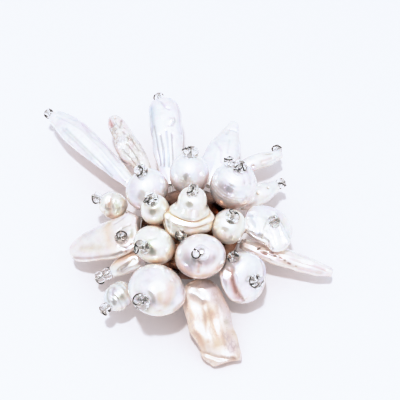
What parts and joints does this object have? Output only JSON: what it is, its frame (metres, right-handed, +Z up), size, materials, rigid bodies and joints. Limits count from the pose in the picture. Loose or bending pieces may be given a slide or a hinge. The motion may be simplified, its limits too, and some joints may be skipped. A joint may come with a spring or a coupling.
{
  "type": "pearl brooch",
  "caption": "Brooch of round, baroque and long stick pearls on wire stems that radiate from a small gilt dome, with glass beads at their tips and a bar pin at the back.",
  "frame": {"origin": "on the surface that the brooch lies on, under the middle of the whole brooch", "axes": "+Z up and away from the garment, +Y to the side of the long sticks, and X along the pin"},
  "size_m": [0.0586, 0.0594, 0.0228],
  "materials": {
    "pearl_white": "gloss",
    "pearl_lavender": "gloss",
    "pearl_blush": "gloss",
    "gilt_metal": "polished",
    "wire": "polished",
    "pin_metal": "satin",
    "glass_bead": "gloss"
  },
  "bodies": {
    "root": {"back_plate": "gilt_metal", "pearl_crown_ringed": "pearl_white", "pearl_heart": "pearl_white", "pearl_large_back_right": "pearl_lavender", "pearl_large_front": "pearl_white", "pearl_oval_back_left": "pearl_lavender", "pearl_oval_front_left": "pearl_white", "pearl_round_back": "pearl_lavender", "pearl_round_front": "pearl_white", "pearl_round_left": "pearl_white", "pearl_round_right": "pearl_white", "pearl_small_front_left": "pearl_white", "pearl_small_left": "pearl_white", "petal_bottom": "pearl_blush", "petal_left": "pearl_white", "pin_back": "pin_metal", "plate_right": "pearl_white", "sieve_dome": "gilt_metal", "stem_pearl_crown_ringed": "wire", "stem_pearl_heart": "wire", "stem_pearl_large_back_right": "wire", "stem_pearl_large_front": "wire", "stem_pearl_oval_back_left": "wire", "stem_pearl_oval_front_left": "wire", "stem_pearl_round_back": "wire", "stem_pearl_round_front": "wire", "stem_pearl_round_left": "wire", "stem_pearl_round_right": "wire", "stem_pearl_small_front_left": "wire", "stem_pearl_small_left": "wire", "stem_petal_bottom": "wire", "stem_petal_left": "wire", "stem_plate_right": "wire", "stem_stick_pitted": "wire", "stem_stick_right": "wire", "stem_stick_top": "wire", "stem_stick_upper_left": "wire", "stem_stick_upper_right": "wire", "stem_twig_front_left": "wire", "stem_twig_right_lower": "wire", "stem_twig_right_upper": "wire", "stick_pitted": "pearl_blush", "stick_right": "pearl_blush", "stick_top": "pearl_lavender", "stick_upper_left": "pearl_lavender", "stick_upper_right": "pearl_lavender", "twig_front_left": "pearl_white", "twig_right_lower": "pearl_white", "twig_right_upper": "pearl_white"}
  },
  "joints": []
}
